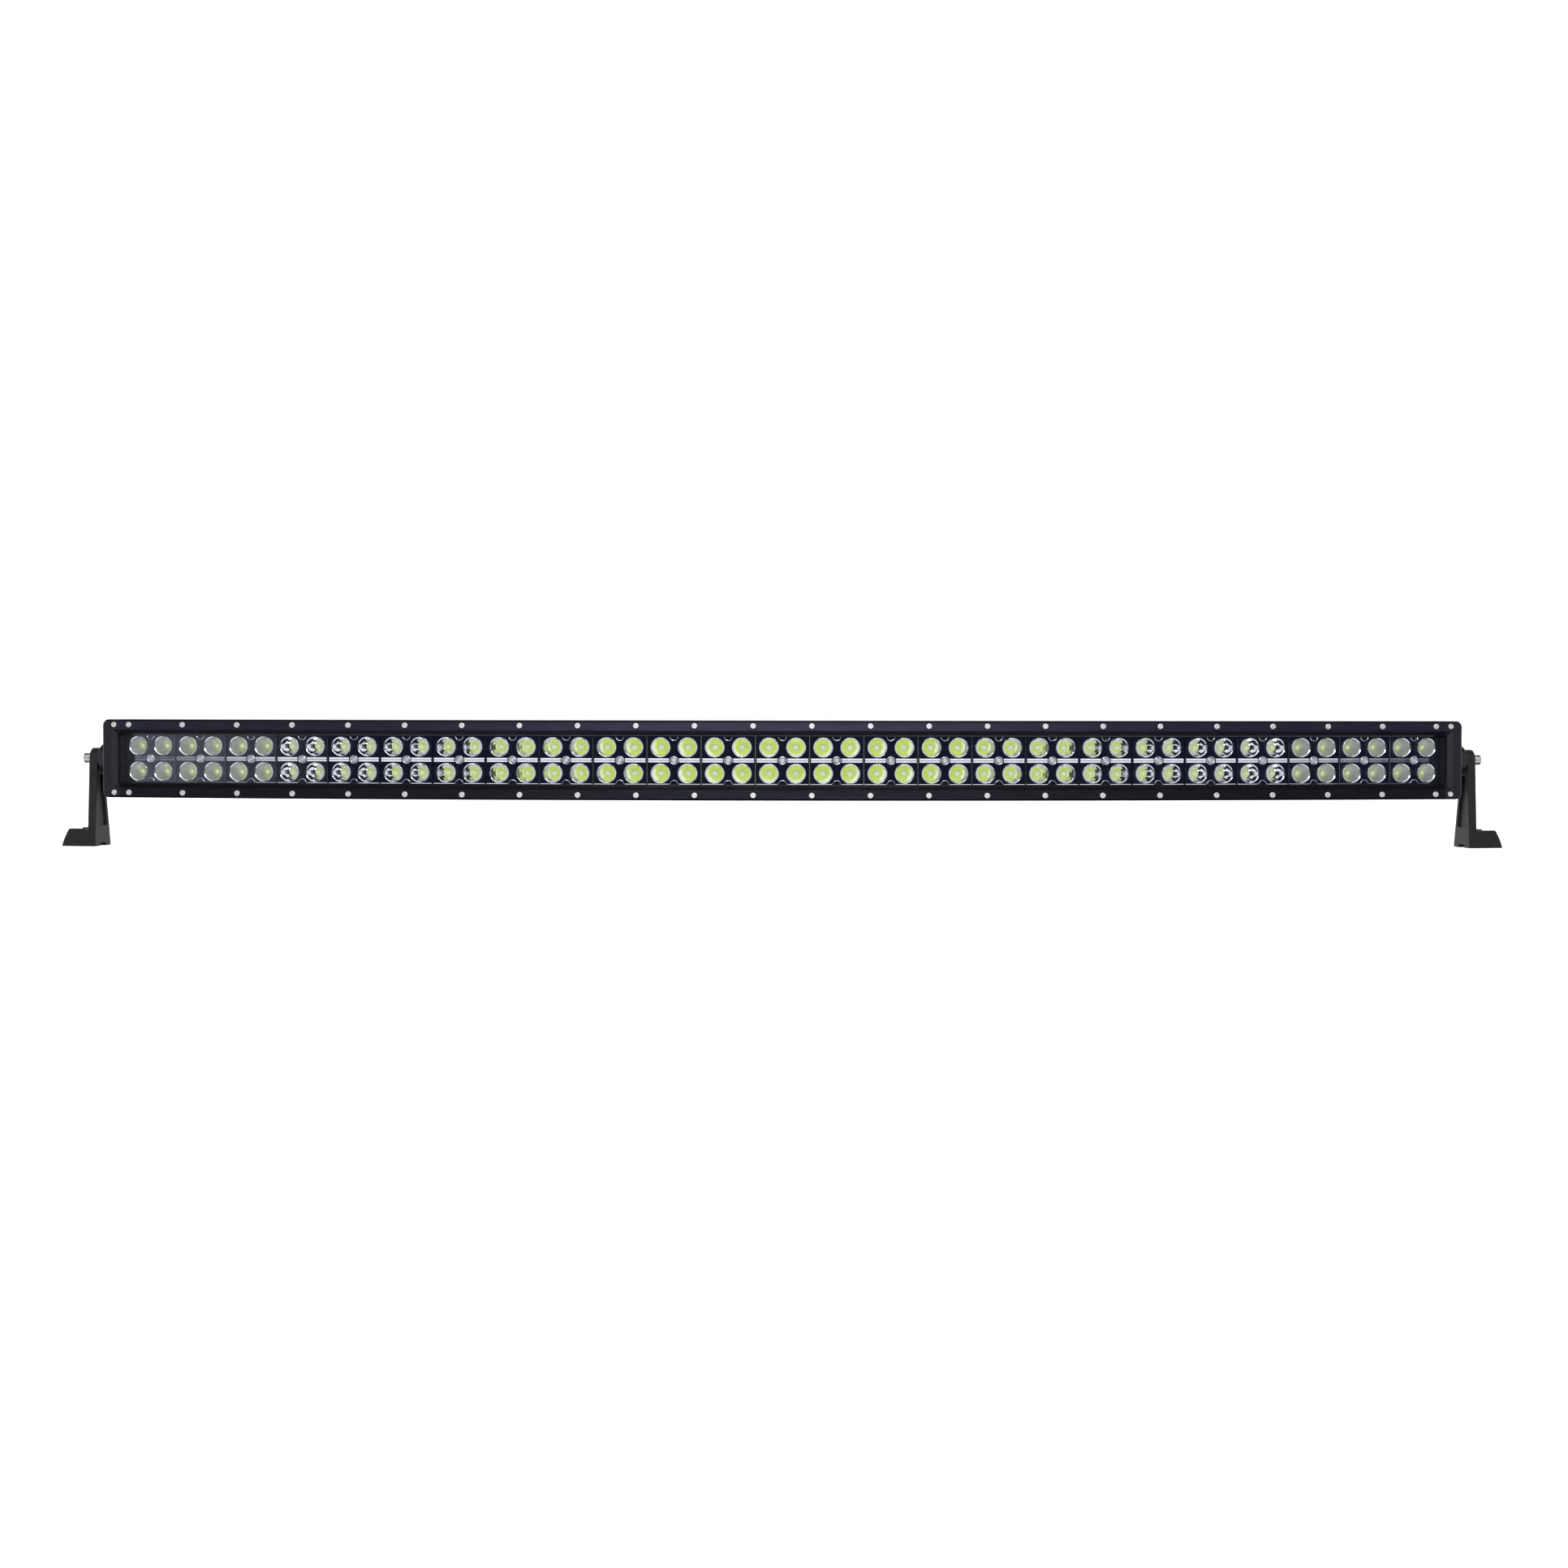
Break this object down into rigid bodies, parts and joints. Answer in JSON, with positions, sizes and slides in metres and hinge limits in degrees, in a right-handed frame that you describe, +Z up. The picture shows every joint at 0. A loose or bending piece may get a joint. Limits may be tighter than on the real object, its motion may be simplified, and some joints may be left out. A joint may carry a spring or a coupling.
{
  "type": "led light bar",
  "caption": "Curved two-row LED light bar in a finned black housing, with a swinging foot bracket bolted to each end.",
  "frame": {"origin": "centre of the bounding box's underside, on the plane of the two bracket feet", "axes": "+Z up, +X along the bar to the right as seen from its front, -Y the way the light shines"},
  "size_m": [1.3912, 0.1384, 0.1224],
  "materials": {
    "black_extrusion": "black anodised, satin",
    "black_rail": "black anodised, satin",
    "cast_cap": "die cast, fine black powder coat",
    "cast_bracket": "die cast, black powder coat",
    "stainless_screws": "bright stainless",
    "stainless_hardware": "bright stainless",
    "clear_lens": "clear hard-coated polycarbonate",
    "rubber_seal": "matt silicone",
    "white_board": "aluminium-core circuit board, white mask",
    "lamp_body": "white lamp package",
    "lamp_phosphor": "lime-yellow phosphor under a clear dome",
    "metallised_spot": "vacuum-metallised mirror",
    "metallised_flood": "vacuum-metallised, fluted satin cups",
    "green_board": "glass-epoxy circuit board",
    "driver_parts": "moulded components",
    "black_plastic": "moulded nylon",
    "dark_plastic": "gloss black moulding",
    "washer_plastic": "nylon"
  },
  "bodies": {
    "light_bar": {"housing": "black_extrusion", "top_bezel_rail": "black_rail", "bottom_bezel_rail": "black_rail", "top_bezel_screws": "stainless_screws", "bottom_bezel_screws": "stainless_screws", "lens": "clear_lens", "lens_gasket": "rubber_seal", "led_boards": "white_board", "led_packages": "lamp_body", "led_domes": "lamp_phosphor", "reflector_screws": "stainless_screws", "driver_board": "green_board", "driver_components": "driver_parts", "cable_gland_body": "black_plastic", "cable_gland_nut": "black_plastic", "breather_vent": "black_plastic", "end_cap_corner_screws": "stainless_screws", "left_flood_reflector_1": "metallised_flood", "left_flood_reflector_2": "metallised_flood", "left_flood_reflector_3": "metallised_flood", "spot_reflector_01": "metallised_spot", "spot_reflector_02": "metallised_spot", "spot_reflector_03": "metallised_spot", "spot_reflector_04": "metallised_spot", "spot_reflector_05": "metallised_spot", "spot_reflector_06": "metallised_spot", "spot_reflector_07": "metallised_spot", "spot_reflector_08": "metallised_spot", "spot_reflector_09": "metallised_spot", "spot_reflector_10": "metallised_spot", "spot_reflector_11": "metallised_spot", "spot_reflector_12": "metallised_spot", "spot_reflector_13": "metallised_spot", "spot_reflector_14": "metallised_spot", "spot_reflector_15": "metallised_spot", "spot_reflector_16": "metallised_spot", "spot_reflector_17": "metallised_spot", "spot_reflector_18": "metallised_spot", "spot_reflector_19": "metallised_spot", "right_flood_reflector_1": "metallised_flood", "right_flood_reflector_2": "metallised_flood", "right_flood_reflector_3": "metallised_flood", "left_end_baffle": "dark_plastic", "left_end_cap_seal": "rubber_seal", "left_end_cap": "cast_cap", "left_end_cap_side_screws": "stainless_screws", "left_pivot_friction_washer": "washer_plastic", "left_pivot_flat_washer": "stainless_hardware", "left_pivot_spring_washer": "stainless_hardware", "left_pivot_bolt": "stainless_hardware", "right_end_baffle": "dark_plastic", "right_end_cap_seal": "rubber_seal", "right_end_cap": "cast_cap", "right_end_cap_side_screws": "stainless_screws", "right_pivot_friction_washer": "washer_plastic", "right_pivot_flat_washer": "stainless_hardware", "right_pivot_spring_washer": "stainless_hardware", "right_pivot_bolt": "stainless_hardware"},
    "left_bracket": {"left_bracket": "cast_bracket"},
    "right_bracket": {"right_bracket": "cast_bracket"}
  },
  "joints": [
    {"name": "left_bracket_pivot", "type": "hinge", "parent": "light_bar", "child": "left_bracket", "pos_m": [-0.66246, 0.02996, 0.085], "axis": [0.9776, -0.2106, 0], "range_deg": [-90, 90]},
    {"name": "right_bracket_pivot", "type": "hinge", "parent": "light_bar", "child": "right_bracket", "pos_m": [0.66246, 0.02996, 0.085], "axis": [0.9776, 0.2106, 0], "range_deg": [-90, 90]}
  ]
}
